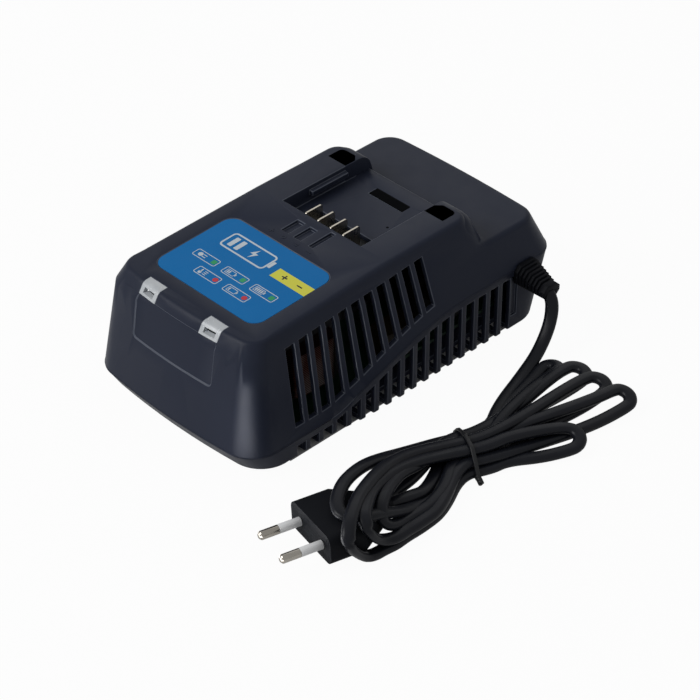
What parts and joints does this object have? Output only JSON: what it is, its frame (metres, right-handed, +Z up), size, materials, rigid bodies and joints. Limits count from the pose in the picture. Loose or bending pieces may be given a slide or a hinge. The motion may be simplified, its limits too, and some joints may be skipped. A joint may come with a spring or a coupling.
{
  "type": "power tool battery charger",
  "caption": "Low wedge-shaped battery charger with a slide-on battery channel, spring contacts, slotted sides, a tied mains cord and a flat two-pin plug.",
  "frame": {"origin": "on the floor under the middle of the charger's housing; the cord, hank and plug aren't counted", "axes": "+Z up, -Y towards the front with the two indicator windows, +X towards the side the mains cord leaves"},
  "size_m": [0.1836, 0.2146, 0.065],
  "materials": {
    "housing_top": "fine satin texture, blue-black",
    "housing_base": "fine satin texture, charcoal",
    "window": "milky light guide",
    "label": "printed foil, satin",
    "contact": "tin-plated spring bronze",
    "block": "moulded, matte",
    "boot": "soft moulded",
    "cord": "smooth flexible sheath, dark grey",
    "tie": "coated wire",
    "plug": "moulded, satin",
    "pins": "nickel-plated",
    "sleeve": "smooth",
    "feet": "matte",
    "board": "solder mask",
    "ferrite": "sintered ferrite",
    "copper": "enamelled copper wire",
    "capacitor": "shrink sleeve",
    "film": "dipped coating",
    "sink": "extruded",
    "fuse": "clear tube with metal caps",
    "led": "clear lens",
    "screw": "zinc-plated"
  },
  "bodies": {
    "charger": {"upper_housing": "housing_top", "lower_housing": "housing_base", "led_window_left": "window", "led_window_right": "window", "status_label": "label", "contact_blade_1": "contact", "contact_blade_2": "contact", "contact_blade_3": "contact", "contact_blade_4": "contact", "terminal_block": "block", "strain_relief": "boot", "mains_cord": "cord", "cord_hank": "cord", "plug_lead": "cord", "cord_tie": "tie", "plug_body": "plug", "plug_pins": "pins", "pin_sleeves": "sleeve", "rubber_feet": "feet", "circuit_board": "board", "transformer_core": "ferrite", "transformer_winding": "copper", "bulk_capacitor": "capacitor", "film_capacitor": "film", "choke": "copper", "heat_sink": "sink", "power_transistors": "block", "fuse": "fuse", "indicator_board": "board", "status_leds": "led", "fan_frame": "block", "housing_screws": "screw"},
    "fan_rotor": {"fan_rotor": "block"}
  },
  "joints": [
    {"name": "fan_spin", "type": "hinge", "parent": "charger", "child": "fan_rotor", "pos_m": [-0.0405, 0.026, 0.024], "axis": [1, 0, 0], "continuous": true}
  ]
}
